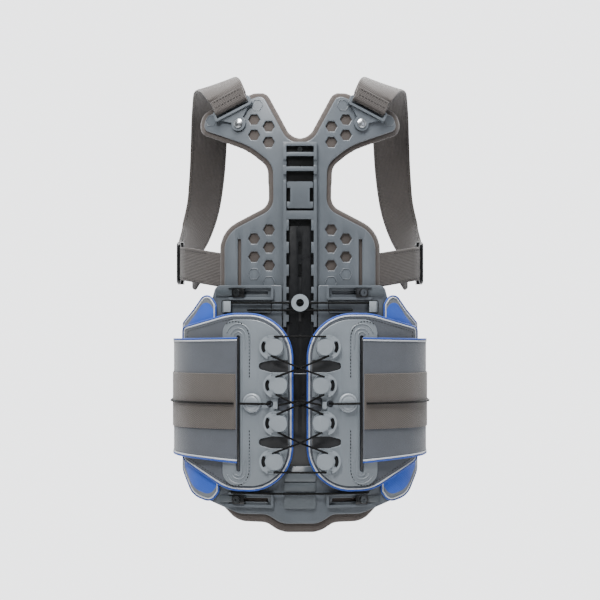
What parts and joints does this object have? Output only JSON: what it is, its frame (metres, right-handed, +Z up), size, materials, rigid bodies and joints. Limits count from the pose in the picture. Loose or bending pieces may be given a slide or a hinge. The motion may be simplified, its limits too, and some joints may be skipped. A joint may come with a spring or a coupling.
{
  "type": "back brace",
  "caption": "Back brace with a height-adjustable thoracic plate, shoulder and chest straps, side wings and a laced lumbar belt with pull handles.",
  "frame": {"origin": "on the wearer's torso axis, level with the lowest edge of the lumbar pad", "axes": "+Z up the spine, -Y out of the wearer's back, +X to the wearer's right"},
  "size_m": [0.3086, 0.2379, 0.5296],
  "materials": {
    "shell": "satin",
    "dark_plastic": "satin",
    "lining": "matte",
    "webbing": "matte",
    "belt_fabric": "matte",
    "elastic": "matte",
    "wing_fabric": "matte",
    "piping": "satin",
    "cord": "satin",
    "steel": "brushed"
  },
  "bodies": {
    "lumbar_frame": {"lumbar_plate": "shell", "lumbar_pad": "lining", "spine_rail": "dark_plastic", "ladder_blocks": "shell", "adjuster_frames_upper": "shell", "adjuster_frames_lower": "shell", "recess_plates": "dark_plastic", "cord_clips": "shell", "retention_cords": "cord", "cord_ring": "shell"},
    "thoracic_frame": {"thoracic_pad": "lining", "thoracic_shell": "shell", "height_channel": "shell", "channel_liner": "dark_plastic", "height_tongue": "shell", "channel_screw": "steel", "chest_strap_right": "webbing", "chest_strap_left": "webbing", "strap_keepers": "dark_plastic", "shoulder_strap_right": "webbing", "shoulder_strap_left": "webbing", "strap_rivets": "steel"},
    "strap_ring_right": {"strap_ring_right": "shell", "strap_end_right": "webbing"},
    "wing_right": {"side_wing_right": "wing_fabric", "width_blocks_right": "dark_plastic", "width_screws_right": "steel"},
    "lacing_panel_right": {"panel_pad_right": "belt_fabric", "panel_piping_right": "piping", "lacing_plate_right": "shell", "lace_guides_right": "shell", "knob_right": "shell", "cord_bar_right": "shell", "lacing_cord_right": "cord", "pull_cord_inner_right": "cord"},
    "belt_right": {"belt_right": "belt_fabric", "elastic_band_right": "elastic", "belt_bar_right": "dark_plastic", "pull_cord_outer_right": "cord", "closure_tab": "webbing"},
    "pull_handle_right": {"pull_handle_right": "dark_plastic"},
    "strap_ring_left": {"strap_ring_left": "shell", "strap_end_left": "webbing"},
    "wing_left": {"side_wing_left": "wing_fabric", "width_blocks_left": "dark_plastic", "width_screws_left": "steel"},
    "lacing_panel_left": {"panel_pad_left": "belt_fabric", "panel_piping_left": "piping", "lacing_plate_left": "shell", "lace_guides_left": "shell", "knob_left": "shell", "cord_bar_left": "shell", "lacing_cord_left": "cord", "pull_cord_inner_left": "cord"},
    "belt_left": {"belt_left": "belt_fabric", "elastic_band_left": "elastic", "belt_bar_left": "dark_plastic", "pull_cord_outer_left": "cord", "front_pad": "lining"},
    "pull_handle_left": {"pull_handle_left": "dark_plastic"}
  },
  "joints": [
    {"name": "thoracic_height", "type": "slide", "parent": "lumbar_frame", "child": "thoracic_frame", "axis": [0, 0, 1], "range_m": [-0.005, 0.03]},
    {"name": "strap_swivel_right", "type": "hinge", "parent": "thoracic_frame", "child": "strap_ring_right", "pos_m": [0.0706, -0.06004, 0.4716], "axis": [0.3648, -0.9211, 0.136], "range_deg": [-15, 15]},
    {"name": "wing_width_right", "type": "hinge", "parent": "lumbar_frame", "child": "wing_right", "pos_m": [0, 0.11819, 0.15], "axis": [0, 0, -1], "range_deg": [0, 2.4]},
    {"name": "lacing_right", "type": "hinge", "parent": "lumbar_frame", "child": "lacing_panel_right", "pos_m": [0, 0.11819, 0.15], "axis": [0, 0, 1], "range_deg": [0, 5], "deforming": ["lacing_cord_right"]},
    {"name": "pull_handle_right", "type": "hinge", "parent": "belt_right", "child": "pull_handle_right", "pos_m": [0, -0.0795, 0.15], "axis": [0, 0, -1], "range_deg": [0, 12.5]},
    {"name": "strap_swivel_left", "type": "hinge", "parent": "thoracic_frame", "child": "strap_ring_left", "pos_m": [-0.0706, -0.06004, 0.4716], "axis": [-0.3648, -0.9211, 0.136], "range_deg": [-15, 15]},
    {"name": "wing_width_left", "type": "hinge", "parent": "lumbar_frame", "child": "wing_left", "pos_m": [0, 0.11819, 0.15], "axis": [0, 0, 1], "range_deg": [0, 2.4]},
    {"name": "lacing_left", "type": "hinge", "parent": "lumbar_frame", "child": "lacing_panel_left", "pos_m": [0, 0.11819, 0.15], "axis": [0, 0, -1], "range_deg": [0, 5], "deforming": ["lacing_cord_left"]},
    {"name": "pull_handle_left", "type": "hinge", "parent": "belt_left", "child": "pull_handle_left", "pos_m": [0, -0.0795, 0.15], "axis": [0, 0, 1], "range_deg": [0, 12.5]},
    {"name": "belt_opening_right", "type": "hinge", "parent": "lacing_panel_right", "child": "belt_right", "pos_m": [0.071, -0.07965, 0.15], "axis": [0, 0, -1], "range_deg": [0, 50]},
    {"name": "belt_opening_left", "type": "hinge", "parent": "lacing_panel_left", "child": "belt_left", "pos_m": [-0.071, -0.07965, 0.15], "axis": [0, 0, 1], "range_deg": [0, 10]}
  ],
  "couplings": [
    {"joint": "pull_handle_left", "follows": "pull_handle_right", "ratio": 1},
    {"joint": "lacing_right", "follows": "pull_handle_right", "ratio": 0.4},
    {"joint": "lacing_left", "follows": "pull_handle_right", "ratio": 0.4},
    {"joint": "belt_opening_left", "follows": "belt_opening_right", "ratio": 0.2}
  ]
}
